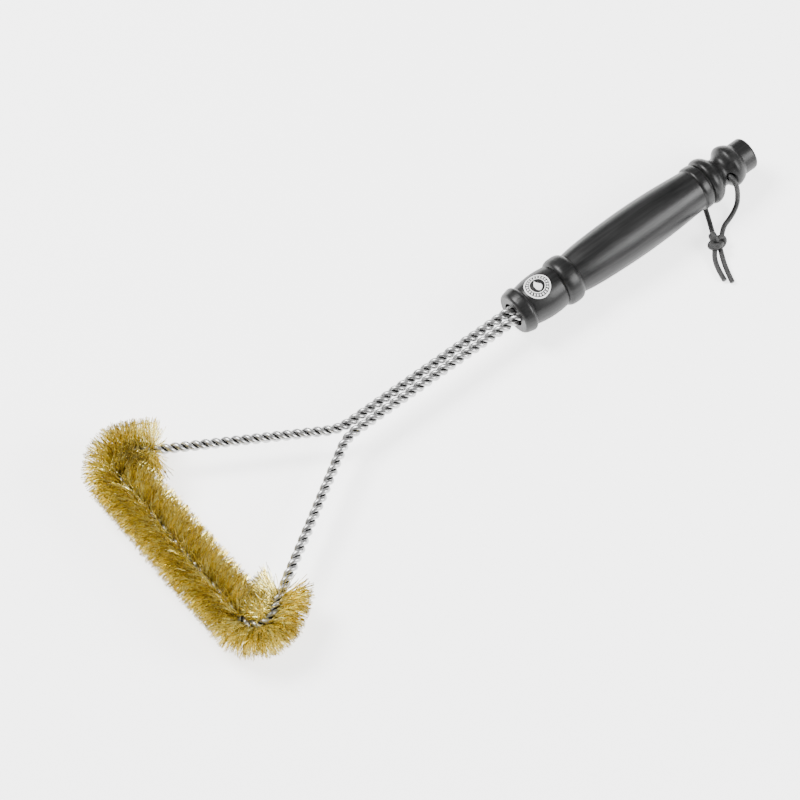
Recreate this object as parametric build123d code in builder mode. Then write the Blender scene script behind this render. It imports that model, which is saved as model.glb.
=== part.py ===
"""Grill cleaning brush: two wires twisted into a rope, bent into a triangle, glued into a handle."""

from build123d import *
from math import atan2, ceil, cos, hypot, pi, radians, sin, tan
import os

os.makedirs("parts", exist_ok=True)

# Driving dimensions, in millimetres. +X runs from the head to the handle's end, +Z is up.
HANDLE_LENGTH = 188.0
NECK_LENGTH = 131.0        # bare twin stem between the fork and the handle
TRIANGLE_HEIGHT = 122.0    # fork to the middle line of the base
TRIANGLE_BASE = 160.0      # between the sharp corners of the middle line
BRISTLE_RADIUS = 19.5
WIRE_DIAMETER = 3.35
TWIST_PITCH = 12.2
TWIST_SLACK = 0.02         # gap between the two wires of a rope
STEM_SLACK = 0.1           # from each rope of the stem to the middle between them
CORNER_BEND = 10.0         # middle-line radius at the two bristled corners
FORK_BEND = 28.0
SOCKET_DEPTH = 62.0
SOCKET_RADIUS = 7.8
STEM_DEPTH = 56.0          # how far the ropes reach into the handle
RESIN_START = 5.0
HOLE_RADIUS = 2.6
HOLE_PLACE = 165.8         # from the handle's front face
HOLE_TILT = 25.0           # degrees; its near mouth is the higher one
CORD_DIAMETER = 3.2
KNOT_LENGTH = 17.0
KNOT_RADIUS = 6.2
FAN_LENGTH = 14.0          # bristled stretch of each leg beyond its corner bend
ROPE_SLACK = 0.1           # between a rope and the bristles or resin around it
BADGE_RADIUS = 8.3
BADGE_PLACE = 18.8         # from the handle's front face
BADGE_THICKNESS = 0.2
ARC_SHARE = 0.45           # of the shorter run, taken by each arc of the cord

wire_radius = WIRE_DIAMETER / 2
rope_offset = wire_radius + TWIST_SLACK / 2
rope_radius = rope_offset + wire_radius
stem_y = rope_radius + STEM_SLACK
total_length = BRISTLE_RADIUS + TRIANGLE_HEIGHT + NECK_LENGTH + HANDLE_LENGTH
base_x = -total_length / 2 + BRISTLE_RADIUS
fork_x = base_x + TRIANGLE_HEIGHT
front_x = fork_x + NECK_LENGTH
axis_z = BRISTLE_RADIUS
hole_direction = Vector(0, -cos(radians(HOLE_TILT)), sin(radians(HOLE_TILT)))
half_base = TRIANGLE_BASE / 2


def save(part, name):
    """Label a finished piece and write it as its own STEP file."""
    part.label = name
    export_step(part, f"parts/{name}.step")


# --- Turned handle -------------------------------------------------------------------------------
# Distances run from the front face; each radius is where that bead, groove or swell peaks.
barrel_points = [(10.4, 13.3), (22.5, 14.7), (32.4, 14.0)]
barrel_slopes = ((1, 0.2), (1, -0.14))
grip_radius = 16.0
end_radius = 10.8
end_start = 178.4
end_round = 2.2

with BuildPart() as handle:
    with BuildSketch(Plane.XZ):
        with BuildLine():
            Line((0, 0), (0, 12.2))
            Spline((0, 12.2), (1.6, 13.9), (4.6, 14.7), (8.2, 13.9), tangents=((0.2, 1), (0.75, -1)))
            Line((8.2, 13.9), (9.4, 12.9))
            Line((9.4, 12.9), (10.4, 13.3))
            Spline(barrel_points, tangents=barrel_slopes)
            Line((32.4, 14.0), (33.4, 13.5))
            Spline((33.4, 13.5), (39.4, 16.0), (45.8, 13.2), tangents=((0.5, 1), (0.5, -1)))
            Line((45.8, 13.2), (47.2, 13.4))
            Spline(
                (47.2, 13.4), (66.0, 15.2), (92.0, grip_radius), (122.0, 15.2), (143.0, 13.7),
                tangents=((1, 0.18), (1, -0.07)),
            )
            Spline((143.0, 13.7), (146.4, 14.8), (149.8, 13.4), tangents=((0.4, 1), (0.4, -1)))
            Line((149.8, 13.4), (150.4, 13.3))
            Spline(
                (150.4, 13.3), (154.9, 15.4), (159.2, 12.7), (162.6, 9.9), (166.2, 10.4),
                (171.4, 14.0), (176.6, 11.8), (end_start, end_radius),
                tangents=((0.3, 1), (1, -0.4)),
            )
            Line((end_start, end_radius), (HANDLE_LENGTH - end_round, end_radius))
            RadiusArc(
                (HANDLE_LENGTH - end_round, end_radius), (HANDLE_LENGTH, end_radius - end_round), end_round
            )
            Line((HANDLE_LENGTH, end_radius - end_round), (HANDLE_LENGTH, 0))
            Line((HANDLE_LENGTH, 0), (0, 0))
        make_face()
    revolve(axis=Axis.X)
    with BuildSketch(Plane.YZ):
        Circle(SOCKET_RADIUS)
    extrude(amount=SOCKET_DEPTH, mode=Mode.SUBTRACT)
    with BuildSketch(Plane((HOLE_PLACE, 0, 0), x_dir=(1, 0, 0), z_dir=hole_direction)):
        Circle(HOLE_RADIUS)
    extrude(amount=grip_radius, both=True, mode=Mode.SUBTRACT)
save(handle.part.moved(Location((front_x, 0, axis_z))), "handle")

with BuildPart() as badge:
    with BuildSketch(Plane.XZ):
        with BuildLine():
            for lift in (0, BADGE_THICKNESS):
                Spline([(x, radius + lift) for x, radius in barrel_points], tangents=barrel_slopes)
            for x, radius in (barrel_points[0], barrel_points[-1]):
                Line((x, radius), (x, radius + BADGE_THICKNESS))
        make_face()
    revolve(axis=Axis.X)
    with BuildSketch(Plane.XY):
        with Locations((BADGE_PLACE, 0)):
            Circle(BADGE_RADIUS)
    extrude(amount=grip_radius, mode=Mode.INTERSECT)
save(badge.part.moved(Location((front_x, 0, axis_z))), "badge")

with BuildPart() as socket_resin:
    with BuildSketch(Plane.YZ.offset(RESIN_START)):
        Circle(SOCKET_RADIUS)
    extrude(amount=SOCKET_DEPTH - RESIN_START)
    with BuildSketch(Plane.YZ):
        SlotCenterToCenter(2 * stem_y, 2 * (rope_radius + ROPE_SLACK))
    extrude(amount=STEM_DEPTH + WIRE_DIAMETER / 2, mode=Mode.SUBTRACT)
save(socket_resin.part.moved(Location((front_x, 0, axis_z))), "socket_resin")


# --- Twisted wires -------------------------------------------------------------------------------
# One rope of two wires runs out along the far stem and leg, round the far corner, along the base
# and back along the near leg and stem. Its middle line is straight runs and bends, each a length
# and a turn, and every wire winds round it at a steady pitch.
leg_angle = atan2(half_base - stem_y, TRIANGLE_HEIGHT)
corner_turn = pi / 2 + leg_angle
fork_set_back = FORK_BEND * tan(leg_angle / 2)
corner_set_back = CORNER_BEND * tan(corner_turn / 2)
stem_run = NECK_LENGTH + STEM_DEPTH - fork_set_back
leg_run = hypot(half_base - stem_y, TRIANGLE_HEIGHT) - fork_set_back - corner_set_back
base_run = TRIANGLE_BASE - 2 * corner_set_back
out_leg = [(stem_run, 0), (FORK_BEND * leg_angle, -leg_angle), (leg_run, 0)]
corner = [(CORNER_BEND * corner_turn, corner_turn)]
route = out_leg + corner + [(base_run, 0)] + corner + out_leg[::-1]
UP = Vector(0, 0, 1)
POINTS_PER_PITCH = 14


def advance(point, heading, length, turn):
    """The middle line's point and heading after a stretch that turns evenly."""
    if turn == 0:
        return point + Vector(cos(heading), sin(heading)) * length, heading
    radius = length / turn
    left = Vector(-sin(heading), cos(heading))
    new_left = Vector(-sin(heading + turn), cos(heading + turn))
    return point + (left - new_left) * radius, heading + turn


def wire_place(point, heading, angle):
    """Centre of a wire beside the middle line, its direction, and the way it stands off."""
    forward = Vector(cos(heading), sin(heading))
    side = UP.cross(forward)
    stand_off = side * cos(angle) + UP * sin(angle)
    winding = (UP * cos(angle) - side * sin(angle)) * (2 * pi * rope_offset / TWIST_PITCH)
    return point + stand_off * rope_offset, forward + winding, stand_off


def wire_stretch(point, heading, angle, length, turn):
    """The wire along one stretch of the route."""
    centre, direction, stand_off = wire_place(point, heading, angle)
    with BuildPart() as stretch:
        if turn == 0:
            middle = Plane(point, x_dir=stand_off, z_dir=(cos(heading), sin(heading), 0))
            with BuildLine() as path:
                add(Edge.make_helix(TWIST_PITCH, length, rope_offset).moved(middle.location))
        else:
            steps = ceil(length / TWIST_PITCH * POINTS_PER_PITCH)
            places = []
            for step in range(steps + 1):
                along = length * step / steps
                here, way = advance(point, heading, along, turn * step / steps)
                places.append(wire_place(here, way, angle + 2 * pi * along / TWIST_PITCH)[0])
            with BuildLine() as path:
                Spline(places)
        with BuildSketch(Plane(centre, x_dir=stand_off, z_dir=direction)):
            Circle(wire_radius)
        sweep(path=path.line, is_frenet=turn == 0)
    return stretch.part.solid()


def wire_strand(start_angle):
    """One wire of the rope from end to end, as stretches that meet face to face."""
    point = Vector(front_x + STEM_DEPTH, stem_y, axis_z)
    heading, angle = pi, start_angle
    stretches = []
    for length, turn in route:
        stretches.append(wire_stretch(point, heading, angle, length, turn))
        point, heading = advance(point, heading, length, turn)
        angle += 2 * pi * length / TWIST_PITCH
    return Compound(children=stretches)


for name, start_angle in (("wire_strand_a", 0), ("wire_strand_b", pi)):
    save(wire_strand(start_angle), name)


# --- Bristles ------------------------------------------------------------------------------------
# Each roll is the outer shape of its bristles, with a bore for the rope that grips them.
bore_radius = rope_radius + ROPE_SLACK
corner_y = half_base - corner_set_back

with BuildPart() as bristles_base:
    with BuildSketch(Plane.XZ.offset(-corner_y)):
        with Locations((base_x, axis_z)):
            Circle(BRISTLE_RADIUS)
            Circle(bore_radius, mode=Mode.SUBTRACT)
    extrude(amount=2 * corner_y)
save(bristles_base.part, "bristles_base")

bend_axis = Axis((base_x + CORNER_BEND, corner_y, axis_z), (0, 0, 1))
with BuildPart() as bristles_corner:
    with BuildSketch(Plane.XZ.offset(-corner_y)):
        with Locations((base_x, axis_z)):
            Circle(BRISTLE_RADIUS)
            Circle(bore_radius, mode=Mode.SUBTRACT)
        with Locations((base_x + CORNER_BEND + BRISTLE_RADIUS, axis_z)):
            Rectangle(2 * BRISTLE_RADIUS, 3 * BRISTLE_RADIUS, mode=Mode.SUBTRACT)
    revolve(axis=bend_axis, revolution_arc=-corner_turn * 180 / pi)

leg_start = Vector(base_x, half_base, axis_z) + Vector(cos(leg_angle), -sin(leg_angle)) * corner_set_back
with BuildPart() as bristles_leg:
    with BuildSketch(Plane(leg_start, x_dir=(0, 0, 1), z_dir=(cos(leg_angle), -sin(leg_angle), 0))):
        Circle(BRISTLE_RADIUS)
        Circle(bore_radius, mode=Mode.SUBTRACT)
    extrude(amount=FAN_LENGTH)
    with BuildSketch(Plane.XZ.offset(-corner_y)):
        with Locations((base_x, axis_z)):
            Circle(BRISTLE_RADIUS)
    extrude(amount=2 * corner_y, mode=Mode.SUBTRACT)

for fan, name in ((bristles_corner, "corner"), (bristles_leg, "leg")):
    save(fan.part, f"bristles_{name}_far")
    save(fan.part.mirror(Plane.XZ), f"bristles_{name}_near")


# --- Hanging cord --------------------------------------------------------------------------------
# The loop leaves the knot, passes under the handle, up its far side, through the hole and down
# the near side to the knot again. Distances run from the handle's front face.
cord_radius = CORD_DIAMETER / 2
lie = cord_radius + 0.1    # height of the cord's middle where it lies on the ground
knot_centre = Vector(front_x + 135.6, -32.1, KNOT_RADIUS)
knot_turn = 45
loop_route = [
    (137.2, -27.6, 4.6), (142.2, -19.4, 2.0), (147.2, -9.5, lie), (151.5, -0.5, lie), (157.2, 7.8, lie),
    (162.5, 12.2, 4.2), (165.2, 13.4, 9.0), (165.8, 10.9, 14.4), (166.1, 0, axis_z - 0.1),
    (165.8, -10.9, 24.6), (165.8, -15.6, 20.2), (165.6, -17.2, 12.0), (163.6, -19.2, 5.4),
    (156.2, -21.9, lie), (147.2, -24.6, 2.6), (141.0, -30.8, 4.8),
]
long_tail_route = [(139, -29, 5.0), (134.0, -38.2, 4.0), (129.2, -48.2, lie), (125.8, -58.6, lie)]
short_tail_route = [(139, -29, 5.0), (130.6, -35.2, 4.2), (125.2, -44.4, lie), (123.0, -54.6, lie)]


def cord_tube(name, places):
    """A round cord along straight runs joined by arcs as large as the runs allow."""
    points = [Vector(front_x + x, y, z) for x, y, z in places]
    runs = [b - a for a, b in zip(points, points[1:])]
    radii = []
    for before, after in zip(runs, runs[1:]):
        turn = radians(before.get_angle(after))
        radii.append(ARC_SHARE * min(before.length, after.length) / tan(turn / 2))
    with BuildPart() as tube:
        with BuildLine() as path:
            FilletPolyline(*points, radius=radii)
        with BuildSketch(Plane(points[0], z_dir=runs[0])):
            Circle(cord_radius)
        sweep(path=path.line)
    length = sum(edge.length for edge in path.edges())
    ratio = tube.part.volume / (pi * cord_radius**2 * length)
    print(name, "radii", [round(radius, 1) for radius in radii], "length", round(length, 1))
    print(name, "volume over section times length", round(ratio, 4))
    return tube.part


with BuildPart() as cord_knot:
    with BuildSketch(Plane.XZ):
        Ellipse(KNOT_LENGTH / 2, KNOT_RADIUS)
        with Locations((0, -KNOT_RADIUS)):
            Rectangle(2 * KNOT_LENGTH, 2 * KNOT_RADIUS, mode=Mode.SUBTRACT)
    revolve(axis=Axis.X)
knot = cord_knot.part.moved(Location(knot_centre, (0, 0, knot_turn)))
save(knot, "cord_knot")

cords = {"cord_loop": loop_route, "cord_tail_long": long_tail_route, "cord_tail_short": short_tail_route}
for name, places in cords.items():
    with BuildPart() as cord:
        add(cord_tube(name, places))
        add(knot, mode=Mode.SUBTRACT)
    save(cord.part, name)
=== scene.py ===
"""Looks of a grill cleaning brush: stained handle, twisted wire, brass bristles, hanging cord."""

import math

import bpy
import numpy as np
from mathutils import Matrix, Vector
from mathutils.bvhtree import BVHTree


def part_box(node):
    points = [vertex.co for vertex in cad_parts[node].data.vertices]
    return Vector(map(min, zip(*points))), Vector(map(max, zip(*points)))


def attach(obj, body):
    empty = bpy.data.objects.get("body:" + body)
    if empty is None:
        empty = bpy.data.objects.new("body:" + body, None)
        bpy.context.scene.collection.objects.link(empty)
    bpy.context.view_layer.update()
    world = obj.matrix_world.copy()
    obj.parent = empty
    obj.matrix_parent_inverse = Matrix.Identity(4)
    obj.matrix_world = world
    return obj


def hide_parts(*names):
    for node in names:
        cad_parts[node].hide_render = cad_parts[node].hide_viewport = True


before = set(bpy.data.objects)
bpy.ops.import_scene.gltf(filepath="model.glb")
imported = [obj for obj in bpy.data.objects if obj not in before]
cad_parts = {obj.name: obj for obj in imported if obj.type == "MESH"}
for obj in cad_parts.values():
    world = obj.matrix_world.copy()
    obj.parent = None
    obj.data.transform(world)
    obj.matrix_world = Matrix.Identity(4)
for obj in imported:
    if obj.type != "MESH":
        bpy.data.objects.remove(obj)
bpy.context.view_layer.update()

MM = 0.001
UP = np.array([0.0, 0.0, 1.0])

# The brush's own sizes, in metres
WIRE_RADIUS = 1.675 * MM
ROPE_OFFSET = 1.685 * MM
ROPE_RADIUS = ROPE_OFFSET + WIRE_RADIUS
TWIST_PITCH = 12.2 * MM
STEM_Y = ROPE_RADIUS + 0.1 * MM
CORNER_BEND = 10.0 * MM
FORK_BEND = 28.0 * MM
TRIANGLE_HEIGHT = 122.0 * MM
HALF_BASE = 80.0 * MM
STEM_DEPTH = 56.0 * MM
FAN_LENGTH = 14.0 * MM
CORD_DIAMETER = 3.2 * MM

handle_low, handle_high = (Vector(corner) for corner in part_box("handle"))
roll_low, roll_high = (Vector(corner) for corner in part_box("bristles_base"))
front_x = handle_low.x
axis_z = (handle_low.z + handle_high.z) / 2
base_x = (roll_low.x + roll_high.x) / 2
bristle_radius = (roll_high.z - roll_low.z) / 2
fork_x = base_x + TRIANGLE_HEIGHT


# --- Camera and light ------------------------------------------------------------------------------
def add_camera():
    """A long lens, looking down on the brush from the near side of its head."""
    azimuth, elevation, roll = (math.radians(angle) for angle in (-34.3, 59.1, -4.5))
    back = Vector((
        math.sin(azimuth) * math.cos(elevation),
        -math.cos(azimuth) * math.cos(elevation),
        math.sin(elevation),
    ))
    level = Vector((math.cos(azimuth), math.sin(azimuth), 0))
    right = level * math.cos(roll) + back.cross(level) * math.sin(roll)
    up = back.cross(right)
    place = Vector((fork_x, 0, axis_z)) + right * 0.0339 + up * 0.0198 + back * 2.087
    data = bpy.data.cameras.new("camera")
    data.lens = 157.2
    data.clip_end = 20
    camera = bpy.data.objects.new("camera", data)
    rotation = Matrix((right, up, back)).transposed().to_4x4()
    camera.matrix_world = Matrix.Translation(place) @ rotation
    bpy.context.collection.objects.link(camera)
    bpy.context.scene.camera = camera


def add_light(name, place, size, power, target=(0, 0, 0)):
    """A square soft box that faces the brush."""
    data = bpy.data.lights.new(name, "AREA")
    data.shape = "SQUARE"
    data.size = size
    data.energy = power
    lamp = bpy.data.objects.new(name, data)
    lamp.location = place
    lamp.rotation_euler = (Vector(target) - Vector(place)).to_track_quat("-Z", "Y").to_euler()
    bpy.context.collection.objects.link(lamp)


def add_studio():
    """A pale floor, a bright surround and two soft boxes."""
    bpy.ops.mesh.primitive_plane_add(size=12, location=(0, 0, -0.0003))
    floor = bpy.context.object
    floor.name = "floor"
    pale = bpy.data.materials.new("pale_floor")
    pale.use_nodes = True
    shader = pale.node_tree.nodes["Principled BSDF"]
    shader.inputs["Base Color"].default_value = (0.93, 0.93, 0.93, 1)
    shader.inputs["Roughness"].default_value = 0.9
    shader.inputs["Specular IOR Level"].default_value = 0.1
    shader.inputs["Emission Color"].default_value = (1, 1, 1, 1)
    shader.inputs["Emission Strength"].default_value = 2.6
    floor.data.materials.append(pale)
    world = bpy.data.worlds.new("surround")
    world.use_nodes = True
    world.node_tree.nodes["Background"].inputs["Color"].default_value = (1, 1, 1, 1)
    world.node_tree.nodes["Background"].inputs["Strength"].default_value = 0.35
    bpy.context.scene.world = world
    add_light("key", (-0.5, 0.9, 1.5), 0.8, 62)
    add_light("fill", (0.9, -1.1, 0.9), 0.9, 40)


# --- Materials ---------------------------------------------------------------------------------------
class Nodes:
    """Builds one node material with short calls."""

    def __init__(self, name):
        self.material = bpy.data.materials.new(name)
        self.material.use_nodes = True
        self.tree = self.material.node_tree
        self.shader = self.tree.nodes["Principled BSDF"]

    def add(self, kind, inputs=None, **settings):
        node = self.tree.nodes.new(kind)
        for key, value in settings.items():
            setattr(node, key, value)
        for key, value in (inputs or {}).items():
            if isinstance(value, bpy.types.NodeSocket):
                self.tree.links.new(value, node.inputs[key])
            else:
                node.inputs[key].default_value = value
        return node

    def set(self, **values):
        for key, value in values.items():
            socket = self.shader.inputs[key.replace("_", " ")]
            if isinstance(value, bpy.types.NodeSocket):
                self.tree.links.new(value, socket)
            else:
                socket.default_value = value

    def stretched(self, scale):
        """Object coordinates, stretched along the axes."""
        place = self.add("ShaderNodeTexCoord")
        return self.add("ShaderNodeMapping", {"Vector": place.outputs["Object"], "Scale": scale}).outputs[0]

    def noise(self, vector, scale, detail=4.0, roughness=0.55):
        inputs = {"Vector": vector, "Scale": scale, "Detail": detail, "Roughness": roughness}
        return self.add("ShaderNodeTexNoise", inputs).outputs["Fac"]

    def ramp(self, factor, *stops):
        node = self.add("ShaderNodeValToRGB", {"Fac": factor})
        elements = node.color_ramp.elements
        while len(elements) < len(stops):
            elements.new(0.5)
        for element, (position, colour) in zip(elements, stops):
            element.position = position
            element.color = colour if isinstance(colour, tuple) else (colour, colour, colour, 1)
        return node.outputs["Color"]

    def multiply(self, colour, shade):
        node = self.add("ShaderNodeMix", data_type="RGBA", blend_type="MULTIPLY")
        node.inputs["Factor"].default_value = 1
        self.tree.links.new(colour, node.inputs[6])
        self.tree.links.new(shade, node.inputs[7])
        return node.outputs[2]

    def bump(self, height, strength, distance):
        inputs = {"Height": height, "Strength": strength, "Distance": distance}
        self.set(Normal=self.add("ShaderNodeBump", inputs).outputs["Normal"])


def rgb(red, green, blue):
    return (red, green, blue, 1)


def stained_wood():
    """Black stain under satin lacquer, with the grain showing as fine lines along the handle."""
    n = Nodes("stained_wood")
    grain = n.noise(n.stretched((18, 420, 420)), 1.0, 6, 0.65)
    clouds = n.noise(n.stretched((30, 30, 30)), 1.0, 3)
    n.set(Base_Color=n.ramp(grain, (0.35, rgb(0.004, 0.004, 0.004)), (0.7, rgb(0.018, 0.018, 0.018))))
    n.set(Roughness=n.ramp(clouds, (0.3, 0.32), (0.7, 0.42)))
    n.shader.inputs["Specular IOR Level"].default_value = 0.3
    n.bump(grain, 0.25, 0.0003)
    return n.material


def galvanised_wire():
    """Bright zinc with drawn streaks and dull spots, and painted shade darkening the groove where the two
    wires meet.
    """
    n = Nodes("galvanised_wire")
    spots = n.noise(n.stretched((1, 1, 1)), 900, 4, 0.6)
    patches = n.noise(n.stretched((1, 1, 1)), 160, 3)
    zinc = n.ramp(patches, (0.3, rgb(0.36, 0.36, 0.36)), (0.7, rgb(0.54, 0.54, 0.535)))
    # Painted shade: the wire is darkened where it faces the other wire, in the groove between them.
    groove = n.add("ShaderNodeAttribute", attribute_name="groove")
    painted_groove_shade = n.ramp(groove.outputs["Fac"], (0.0, 0.03), (0.4, 0.3), (1.0, 1.0))
    n.set(Base_Color=n.multiply(zinc, painted_groove_shade))
    n.set(Metallic=0.92, Roughness=n.ramp(spots, (0.3, 0.24), (0.7, 0.42)))
    n.bump(spots, 0.2, 0.0001)
    return n.material


def brass_bristle():
    """Drawn brass: each bristle has its own tone, with painted shade darkening it towards the root deep in
    the roll, and darker at the cut tip.
    """
    n = Nodes("brass_bristle")
    tone = n.add("ShaderNodeAttribute", attribute_name="tone")
    split = n.add("ShaderNodeSeparateColor", {"Color": tone.outputs["Color"]})
    own = n.ramp(
        split.outputs["Red"],
        (0.0, rgb(0.36, 0.24, 0.02)), (0.5, rgb(0.96, 0.77, 0.11)), (1.0, rgb(1.0, 0.96, 0.42)),
    )
    # Painted shade along each bristle: dark at the root, deep in the roll where shade falls, and darker
    # again at the cut tip.
    shade = n.ramp(
        split.outputs["Green"],
        (0.0, rgb(0.22, 0.16, 0.1)), (0.25, rgb(0.9, 0.88, 0.84)),
        (0.85, rgb(1, 1, 1)), (1.0, rgb(0.35, 0.3, 0.25)),
    )
    n.set(Base_Color=n.multiply(own, shade), Metallic=0.68, Roughness=0.22)
    return n.material


def black_cord():
    """Waxed black braid."""
    n = Nodes("black_cord")
    fibres = n.noise(n.stretched((1, 1, 1)), 1700, 4, 0.7)
    yarn = n.ramp(fibres, (0.42, rgb(0.003, 0.003, 0.003)), (0.62, rgb(0.045, 0.045, 0.045)))
    n.set(Base_Color=yarn, Roughness=0.55)
    n.shader.inputs["Sheen Weight"].default_value = 0.06
    n.bump(fibres, 0.35, 0.0002)
    return n.material


def badge_print(name, light, dark):
    """White ink with slight wear."""
    n = Nodes(name)
    wear = n.noise(n.stretched((1, 1, 1)), 700, 5, 0.7)
    ink = n.ramp(wear, (0.25, rgb(dark, dark, dark)), (0.5, rgb(light, light, light)))
    n.set(Base_Color=ink, Roughness=0.5)
    n.bump(wear, 0.1, 0.00005)
    return n.material


def dark_resin():
    """Cured adhesive at the bottom of the socket."""
    n = Nodes("dark_resin")
    lumps = n.noise(n.stretched((1, 1, 1)), 500, 3)
    brown = n.ramp(lumps, (0.3, rgb(0.02, 0.018, 0.015)), (0.7, rgb(0.06, 0.05, 0.04)))
    n.set(Base_Color=brown, Roughness=0.3)
    n.bump(lumps, 0.4, 0.0004)
    return n.material


# --- Mesh helpers ------------------------------------------------------------------------------------
def unit(vectors):
    return vectors / np.linalg.norm(vectors, axis=-1, keepdims=True)


def frames_along(points):
    """Directions along a path and two square directions that turn as little as they can."""
    forward = unit(np.gradient(points, axis=0))
    side = np.zeros_like(points)
    start = np.cross(forward[0], UP if abs(forward[0][2]) < 0.9 else np.array([1.0, 0, 0]))
    side[0] = start / np.linalg.norm(start)
    for i in range(1, len(points)):
        turned = side[i - 1] - forward[i] * np.dot(side[i - 1], forward[i])
        side[i] = turned / np.linalg.norm(turned)
    return forward, side, np.cross(forward, side)


def tube(points, radii, sides, closed_ends=True):
    """Vertices and quads of a tube; radii may be one number or a rings-by-sides array."""
    points = np.asarray(points, float)
    _, side, other = frames_along(points)
    angles = np.arange(sides) / sides * 2 * math.pi
    radii = np.broadcast_to(radii, (len(points), sides))
    ring = side[:, None] * np.cos(angles)[None, :, None] + other[:, None] * np.sin(angles)[None, :, None]
    vertices = (points[:, None] + ring * radii[:, :, None]).reshape(-1, 3)
    rows = np.arange(len(points) - 1)[:, None] * sides
    here = np.arange(sides)[None]
    after = (here + 1) % sides
    quads = np.stack([rows + here, rows + after, rows + sides + after, rows + sides + here], -1)
    faces = quads.reshape(-1, 4).tolist()
    if closed_ends:
        faces.append(list(range(sides))[::-1])
        faces.append([(len(points) - 1) * sides + i for i in range(sides)])
    return vertices, faces


def make_mesh(name, vertices, faces, material, smooth=True):
    mesh = bpy.data.meshes.new(name)
    mesh.from_pydata(vertices.tolist(), [], faces)
    mesh.polygons.foreach_set("use_smooth", [smooth] * len(mesh.polygons))
    mesh.update()
    piece = bpy.data.objects.new(name, mesh)
    bpy.context.collection.objects.link(piece)
    mesh.materials.append(material)
    return piece


# --- The rope's middle line --------------------------------------------------------------------------
leg_angle = math.atan2(HALF_BASE - STEM_Y, TRIANGLE_HEIGHT)
corner_turn = math.pi / 2 + leg_angle
fork_set_back = FORK_BEND * math.tan(leg_angle / 2)
corner_set_back = CORNER_BEND * math.tan(corner_turn / 2)
leg_length = math.hypot(HALF_BASE - STEM_Y, TRIANGLE_HEIGHT)
stem_run = front_x + STEM_DEPTH - fork_x - fork_set_back
leg_run = leg_length - fork_set_back - corner_set_back
base_run = 2 * (HALF_BASE - corner_set_back)
out_leg = [(stem_run, 0), (FORK_BEND * leg_angle, -leg_angle), (leg_run, 0)]
corner = [(CORNER_BEND * corner_turn, corner_turn)]
route = out_leg + corner + [(base_run, 0)] + corner + out_leg[::-1]
stops = np.cumsum([0] + [length for length, _ in route])


def middle_line(distances):
    """Points and directions of the rope's middle line at distances from the far stem's end."""
    points = np.zeros((len(distances), 3))
    headings = np.zeros(len(distances))
    place = np.array([front_x + STEM_DEPTH, STEM_Y, axis_z])
    heading = math.pi
    for (length, turn), start in zip(route, stops):
        here = (distances >= start - 1e-9) & (distances <= start + length + 1e-9)
        along = distances[here] - start
        direction = np.array([math.cos(heading), math.sin(heading), 0])
        if turn == 0:
            points[here] = place + along[:, None] * direction
            headings[here] = heading
            place = place + length * direction
        else:
            radius = length / turn
            centre = place + radius * np.array([-math.sin(heading), math.cos(heading), 0])
            angle = heading + along / radius
            inward = np.stack([-np.sin(angle), np.cos(angle), np.zeros_like(angle)], 1)
            points[here] = centre - radius * inward
            headings[here] = angle
            heading += turn
            place = centre - radius * np.array([-math.sin(heading), math.cos(heading), 0])
    forward = np.stack([np.cos(headings), np.sin(headings), np.zeros_like(headings)], 1)
    return points, forward


def wire_strands(material):
    """The two wires, wound round the middle line at a steady pitch."""
    distances = np.linspace(0, stops[-1], int(stops[-1] / TWIST_PITCH * 26))
    points, forward = middle_line(distances)
    side = np.cross(UP, forward)
    for name, start_angle in (("wire_strand_a", 0), ("wire_strand_b", math.pi)):
        angle = start_angle + 2 * math.pi * distances / TWIST_PITCH
        off = side * np.cos(angle)[:, None] + UP * np.sin(angle)[:, None]
        vertices, faces = tube(points + off * ROPE_OFFSET, WIRE_RADIUS, 16)
        wire = make_mesh(name + "_wire", vertices, faces, material)
        # Painted shade mask: vertices close to the rope's middle line, where the two wires meet, are stored
        # as "groove" and drawn darker.
        reach = np.linalg.norm(vertices.reshape(len(points), 16, 3) - points[:, None], axis=-1)
        openness = np.clip((reach / WIRE_RADIUS - 1.12) / 0.3, 0, 1)
        groove = wire.data.attributes.new("groove", "FLOAT", "POINT")
        groove.data.foreach_set("value", openness.ravel())
        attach(wire, "root")
        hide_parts(name)


# --- Bristles ----------------------------------------------------------------------------------------
BRISTLE_SEGMENTS = 4
BRISTLE_START = 0.6 * MM     # from the rope's middle line
BRISTLE_CRIMP = 0.45 * MM
LOWEST_BRISTLE = 0.3 * MM    # above the ground
ROOT_RADIUS = 0.23           # millimetres, as is the tip's
TIP_RADIUS = 0.21
TUFT_SPREAD = 0.85           # radians about the two wires' gaps


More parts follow.
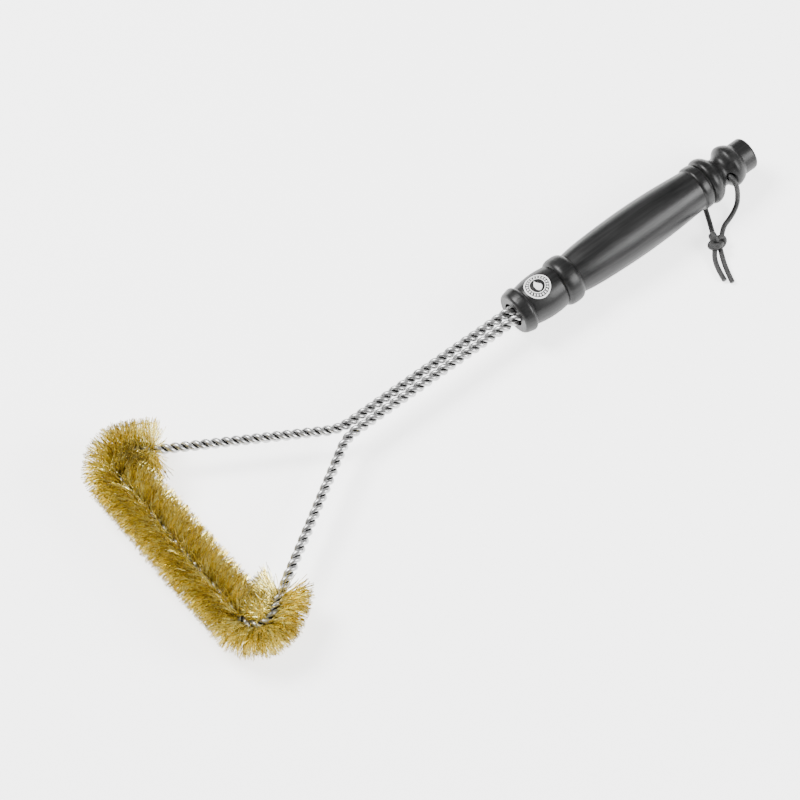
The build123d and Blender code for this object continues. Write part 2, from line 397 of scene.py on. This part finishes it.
def bristle_mesh(name, material, start, end, count, seed, crown_gap, splay):
    """Bristles that stand out all round the rope between two distances along it."""
    rng = np.random.default_rng(seed)
    distances = rng.uniform(start, end, count)
    points, forward = middle_line(distances)
    side = np.cross(UP, forward)
    tufts = 2 * math.pi * distances / TWIST_PITCH + rng.integers(0, 2, count) * math.pi
    angles = tufts + rng.normal(0, TUFT_SPREAD, count)
    if crown_gap:
        lift = np.sin(angles)
        crowded = (lift > math.cos(crown_gap)) & (rng.uniform(0, 1, count) < 0.93)
        angles = np.where(crowded, angles + np.sign(np.cos(angles)) * -crown_gap, angles)
    out = side * np.cos(angles)[:, None] + UP * np.sin(angles)[:, None]
    around = np.cross(forward, out)
    way = (distances - start) / (end - start) - 0.5
    lean = (rng.normal(0, 0.2, count) + splay * way)[:, None]
    swirl = rng.normal(0, 0.18, count)[:, None]
    direction = unit(out + forward * lean + around * swirl)
    clump = 1 + 0.03 * np.sin(distances / (0.9 * MM)) + rng.normal(0, 0.04, count)
    length = bristle_radius * np.minimum(clump, 1.05)
    bend = (forward * rng.normal(0, 0.09, count)[:, None] + around * rng.normal(0, 0.09, count)[:, None])
    steps = np.linspace(0, 1, BRISTLE_SEGMENTS + 1)
    root = points + out * BRISTLE_START
    reach = (length - BRISTLE_START)[:, None, None]
    path = root[:, None] + reach * (
        direction[:, None] * steps[None, :, None] + bend[:, None] * (steps**2 - steps * 0.4)[None, :, None]
    )
    kink = rng.normal(0, BRISTLE_CRIMP, path.shape)
    kink[:, 0] = 0
    path = path + kink
    path[..., 2] = np.maximum(path[..., 2], LOWEST_BRISTLE)
    width = np.linspace(ROOT_RADIUS, TIP_RADIUS, BRISTLE_SEGMENTS + 1) * MM
    corners = np.arange(3) / 3 * 2 * math.pi
    one = unit(np.cross(direction, forward + 0.01))
    two = np.cross(direction, one)
    ring = one[:, None] * np.cos(corners)[None, :, None] + two[:, None] * np.sin(corners)[None, :, None]
    vertices = path[:, :, None] + ring[:, None] * width[None, :, None, None]
    rings = BRISTLE_SEGMENTS + 1
    quads = []
    for ring_number in range(BRISTLE_SEGMENTS):
        for k in range(3):
            a = ring_number * 3 + k
            b = ring_number * 3 + (k + 1) % 3
            quads.append([a, b, b + 3, a + 3])
    quads = np.array(quads)
    first = np.arange(count) * rings * 3
    faces = (quads[None] + first[:, None, None]).reshape(-1, 4).tolist()
    caps = first[:, None] + np.arange(3)[None]
    faces += caps[:, ::-1].tolist() + (caps + BRISTLE_SEGMENTS * 3).tolist()
    piece = make_mesh(name, vertices.reshape(-1, 3), faces, material, smooth=False)
    tone = piece.data.color_attributes.new("tone", "FLOAT_COLOR", "POINT")
    own = np.clip(rng.normal(0.6, 0.36, count), 0, 1)
    values = np.ones((count, rings, 3, 4))
    values[..., 0] = own[:, None, None]
    # Green is the place along the bristle, from root to tip, which the material turns into painted shade at
    # the root and a darker tip.
    values[..., 1] = steps[None, :, None]
    tone.data.foreach_set("color", values.ravel())
    return piece


def add_bristles(material):
    """The base roll in three lengths, a fan round each corner, and a short roll on each leg."""
    far_corner = stops[3]
    base_start, base_end = stops[4], stops[5]
    near_end = stops[6]
    thirds = [(base_start + base_run * k / 3, base_start + base_run * (k + 1) / 3) for k in range(3)]
    rolls = [
        ("bristles_base", thirds, 62, 0.33, 0.0),
        ("bristles_corner_far", [(far_corner, base_start)], 84, 0.25, 0.0),
        ("bristles_corner_near", [(base_end, near_end)], 84, 0.8, 0.0),
        ("bristles_leg_far", [(far_corner - FAN_LENGTH, far_corner)], 66, 0.5, 0.5),
        ("bristles_leg_near", [(near_end, near_end + FAN_LENGTH)], 80, 0.9, 1.2),
    ]
    seed = 11
    for node, spans, per_mm, gap, splay in rolls:
        for k, (start, end) in enumerate(spans):
            count = int((end - start) / MM * per_mm)
            piece = bristle_mesh(f"{node}_{k}", material, start, end, count, seed, gap, splay)
            seed += 1
            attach(piece, "root")
            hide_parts(node)


# --- Hanging cord ------------------------------------------------------------------------------------
# Distances in millimetres from the handle's front face, as in the CAD model.
LIE = 1.7
BRAID_SIDES = 40
LOOP_ROUTE = [
    (137.2, -27.6, 4.6), (142.2, -19.4, 2.0), (147.2, -9.5, LIE), (151.5, -0.5, LIE), (157.2, 7.8, LIE),
    (162.5, 12.2, 4.2), (165.2, 13.4, 9.0), (165.8, 10.9, 14.4), (166.1, 0, 19.4),
    (165.8, -10.9, 24.6), (165.8, -15.6, 20.2), (165.6, -17.2, 12.0), (163.6, -19.2, 5.4),
    (156.2, -21.9, LIE), (147.2, -24.6, 2.6), (141.0, -30.8, 4.8),
]
LONG_TAIL_ROUTE = [(139, -29, 5.0), (134.0, -38.2, 4.0), (129.2, -48.2, LIE), (125.8, -58.6, LIE)]
SHORT_TAIL_ROUTE = [(139, -29, 5.0), (130.6, -35.2, 4.2), (125.2, -44.4, LIE), (123.0, -54.6, LIE)]


def smooth_route(places):
    """Points read from one smooth spline through the cord's route."""
    data = bpy.data.curves.new("route", "CURVE")
    data.dimensions = "3D"
    data.resolution_u = 24
    spline = data.splines.new("NURBS")
    spline.points.add(len(places) - 1)
    for point, (x, y, z) in zip(spline.points, places):
        point.co = (front_x + x * MM, y * MM, z * MM, 1)
    spline.order_u = 3
    spline.use_endpoint_u = True
    holder = bpy.data.objects.new("route", data)
    bpy.context.collection.objects.link(holder)
    mesh = bpy.data.meshes.new_from_object(holder)
    points = np.array([vertex.co for vertex in mesh.vertices])
    bpy.data.objects.remove(holder)
    return points


def even_points(points, gap):
    """The same path with points at an even gap."""
    steps = np.linalg.norm(np.diff(points, axis=0), axis=1)
    along = np.concatenate([[0], np.cumsum(steps)])
    wanted = np.linspace(0, along[-1], max(8, int(along[-1] / gap)))
    return np.stack([np.interp(wanted, along, points[:, k]) for k in range(3)], 1), along[-1]


def braid(name, points, material):
    """A cord whose surface is a braid of crossing yarns."""
    points, length = even_points(points, 0.16 * MM)
    vertices, faces = tube(points, braid_radii(length, len(points)), BRAID_SIDES)
    return make_mesh(name, vertices, faces, material), points, length


def braid_radii(length, rings):
    """A radius for each ring and side, raised where a yarn crosses over."""
    along = np.linspace(0, length, rings)[:, None]
    angle = (np.arange(BRAID_SIDES) / BRAID_SIDES * 2 * math.pi)[None]
    turn = 2 * math.pi * along / (9 * MM)
    left = np.abs(np.cos(4 * (angle + turn)))
    right = np.abs(np.cos(4 * (angle - turn)))
    return CORD_DIAMETER / 2 * (0.80 + 0.22 * np.maximum(left, right) ** 1.5)


def add_cords(material):
    """The loop through the handle, its two tails, and the knot that joins them."""
    knot = add_knot(material)
    cords = [
        ("cord_loop", LOOP_ROUTE, "knot"),
        ("cord_tail_long", LONG_TAIL_ROUTE, "bare"),
        ("cord_tail_short", SHORT_TAIL_ROUTE, "bare"),
    ]
    for node, places, far_end in cords:
        piece, points, length = braid(node + "_braid", smooth_route(places), material)
        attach(piece, "root")
        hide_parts(node)


def add_knot(material):
    """An overhand knot tied in both ends of the cord together."""
    low, high = (np.array(corner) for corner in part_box("cord_knot"))
    centre = (low + high) / 2
    t = np.linspace(0.35, 2 * math.pi - 0.35, 160)
    loop = np.stack([np.sin(t) + 2 * np.sin(2 * t), np.cos(t) - 2 * np.cos(2 * t), -1.1 * np.sin(3 * t)], 1)
    lean = np.array(Matrix.Rotation(math.radians(60), 3, "Z") @ Matrix.Rotation(math.radians(35), 3, "X"))
    vertices = []
    faces = []
    for shift in (-1.1, 1.1):
        path = (loop * 1.7 + np.array([0, 0, shift])) @ lean.T * MM + centre
        path, length = even_points(path, 0.2 * MM)
        more, quads = tube(path, braid_radii(length, len(path)), BRAID_SIDES)
        faces += [[i + sum(len(v) for v in vertices) for i in face] for face in quads]
        vertices.append(more)
    knot = make_mesh("cord_knot_turns", np.concatenate(vertices), faces, material)
    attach(knot, "root")
    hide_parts("cord_knot")
    return knot


# --- Printed emblem ----------------------------------------------------------------------------------
# A generic mark of two rings, a band of ticks and a flame, laid on the barrel of the handle.
badge_low, badge_high = (Vector(corner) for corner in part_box("badge"))
badge_middle = (badge_low + badge_high) / 2
badge_radius = (badge_high.x - badge_low.x) / 2
PRINT_THICKNESS = 0.2 * MM
PRINT_SINK = 0.05 * MM


def barrel_surface():
    """A search tree over the handle's surface."""
    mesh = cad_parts["handle"].data
    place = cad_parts["handle"].matrix_world
    vertices = [place @ vertex.co for vertex in mesh.vertices]
    return BVHTree.FromPolygons(vertices, [tuple(face.vertices) for face in mesh.polygons])


def ring_patch(inner, outer, start=0.0, end=2 * math.pi, steps=96):
    """Flat points of a ring or an arc, as rows from its start to its end."""
    angles = np.linspace(start, end, steps + 1)
    radii = np.linspace(inner, outer, 3)
    return np.stack([radii[None] * np.cos(angles)[:, None], radii[None] * np.sin(angles)[:, None]], -1)


def flame_patch(height, width, lean):
    """Flat points of a flame: a drop that leans and comes to a point."""
    rise = np.linspace(0.0, 1.0, 25)
    half = width / 2 * np.sin(math.pi * np.clip(rise, 0.02, 0.985) ** 0.62)
    middle = lean * np.sin(2.2 * math.pi * rise) * rise
    across = np.linspace(-1, 1, 9)
    along = np.broadcast_to((rise - 0.5)[:, None] * height, (len(rise), len(across)))
    return np.stack([middle[:, None] + half[:, None] * across[None], along], -1)


def lay_print(surface, patch):
    """A thin closed solid that follows the handle under a flat patch."""
    rows, columns = patch.shape[:2]
    flat = patch.reshape(-1, 2)
    above = [Vector((badge_middle.x + x, badge_middle.y + y, badge_high.z + 0.01)) for x, y in flat]
    hits = [surface.ray_cast(point, Vector((0, 0, -1)))[0] for point in above]
    base = np.array(hits)
    away = base - np.array([0, 0, axis_z])
    away[:, 0] = 0
    away = unit(away)
    vertices = np.concatenate([base + away * PRINT_THICKNESS, base - away * PRINT_SINK])
    count = len(flat)
    faces = []
    for row in range(rows - 1):
        for column in range(columns - 1):
            a = row * columns + column
            quad = [a, a + 1, a + columns + 1, a + columns]
            faces += [quad, [k + count for k in reversed(quad)]]
    rim = list(range(columns))
    rim += [row * columns + columns - 1 for row in range(1, rows)]
    rim += [(rows - 1) * columns + column for column in range(columns - 2, -1, -1)]
    rim += [row * columns for row in range(rows - 2, 0, -1)]
    for a, b in zip(rim, rim[1:] + rim[:1]):
        faces.append([b, a, a + count, b + count])
    return vertices, faces


def add_emblem(material):
    """All the print's shapes in one piece."""
    patches = [
        ring_patch(0.89 * badge_radius, badge_radius * 0.999),
        ring_patch(0.56 * badge_radius, 0.62 * badge_radius),
        flame_patch(0.86 * badge_radius, 0.56 * badge_radius, 0.07 * badge_radius),
    ]
    ticks = 22
    for k in range(ticks):
        start = 2 * math.pi * k / ticks
        patches.append(ring_patch(0.68 * badge_radius, 0.83 * badge_radius, start, start + 0.15, 6))
    surface = barrel_surface()
    vertices = []
    faces = []
    for patch in patches:
        more, quads = lay_print(surface, patch)
        first = sum(len(part) for part in vertices)
        faces += [[k + first for k in quad] for quad in quads]
        vertices.append(more)
    print_mark = make_mesh("badge_emblem", np.concatenate(vertices), faces, material, smooth=False)
    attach(print_mark, "root")
    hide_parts("badge")


# --- The whole picture ---------------------------------------------------------------------------------
add_camera()
add_studio()
add_cords(black_cord())
wire_strands(galvanised_wire())
add_bristles(brass_bristle())
for node, make in (("handle", stained_wood), ("socket_resin", dark_resin)):
    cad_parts[node].data.materials.clear()
    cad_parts[node].data.materials.append(make())
add_emblem(badge_print("badge_print", 0.95, 0.75))
